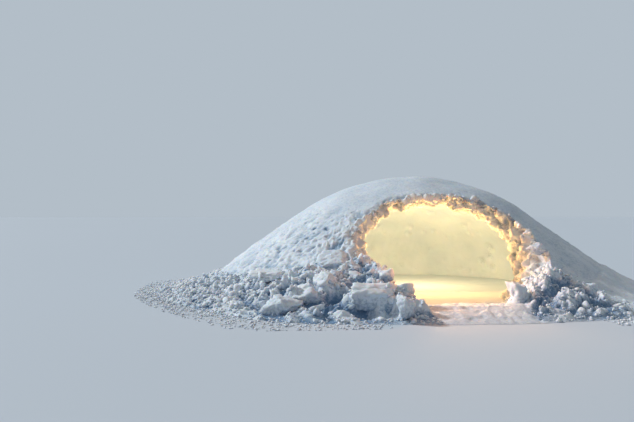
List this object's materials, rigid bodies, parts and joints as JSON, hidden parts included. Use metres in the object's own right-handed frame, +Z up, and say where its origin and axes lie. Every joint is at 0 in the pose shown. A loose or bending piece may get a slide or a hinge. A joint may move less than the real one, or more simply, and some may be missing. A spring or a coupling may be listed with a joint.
{
  "type": "mounded snow igloo",
  "caption": "Mounded snow igloo: a smooth vaulted snow dome with a wide ragged arched mouth in its sloping front, a low sill and a skirt of broken snow blocks.",
  "frame": {"origin": "ground level under the crown, the middle of the whole footprint", "axes": "+Z up; the mouth faces -Y; +X is to the right for someone who looks into the mouth"},
  "size_m": [11.1913, 11.1913, 2.38],
  "materials": {
    "wind_packed_snow": "fine-grained wind-packed snow, matte",
    "mouth_snow": "broken and lightly glazed snow round the mouth",
    "broken_snow": "broken snow blocks and crumbs, matte",
    "trodden_snow": "trodden snow, dense and slightly smoother"
  },
  "bodies": {
    "root": {"block_by_mouth": "broken_snow", "block_low": "broken_snow", "block_pointed": "broken_snow", "block_under_slab": "broken_snow", "boulder_left": "broken_snow", "boulder_right": "broken_snow", "brow": "mouth_snow", "cheek_left": "mouth_snow", "cheek_right": "mouth_snow", "crown": "wind_packed_snow", "haunch_left": "mouth_snow", "haunch_right": "mouth_snow", "heap_left_inner": "broken_snow", "heap_left_outer": "broken_snow", "heap_right_inner": "broken_snow", "heap_right_outer": "broken_snow", "jamb_left": "mouth_snow", "jamb_right": "mouth_snow", "nub_on_shoulder": "broken_snow", "plate_on_heap": "broken_snow", "sill": "trodden_snow", "skirt_back_left": "broken_snow", "skirt_back_right": "broken_snow", "skirt_left_back": "broken_snow", "skirt_left_front": "broken_snow", "skirt_right_back": "broken_snow", "skirt_right_front": "broken_snow", "slab_at_foot": "broken_snow", "slab_leaning": "broken_snow", "slab_on_flank": "broken_snow", "vault_back_left": "wind_packed_snow", "vault_back_right": "wind_packed_snow", "vault_left_back": "wind_packed_snow", "vault_left_front": "wind_packed_snow", "vault_right_back": "wind_packed_snow", "vault_right_front": "wind_packed_snow", "wall_back_left": "wind_packed_snow", "wall_back_right": "wind_packed_snow", "wall_left_back": "wind_packed_snow", "wall_left_front": "wind_packed_snow", "wall_right_back": "wind_packed_snow", "wall_right_front": "wind_packed_snow"}
  },
  "joints": []
}
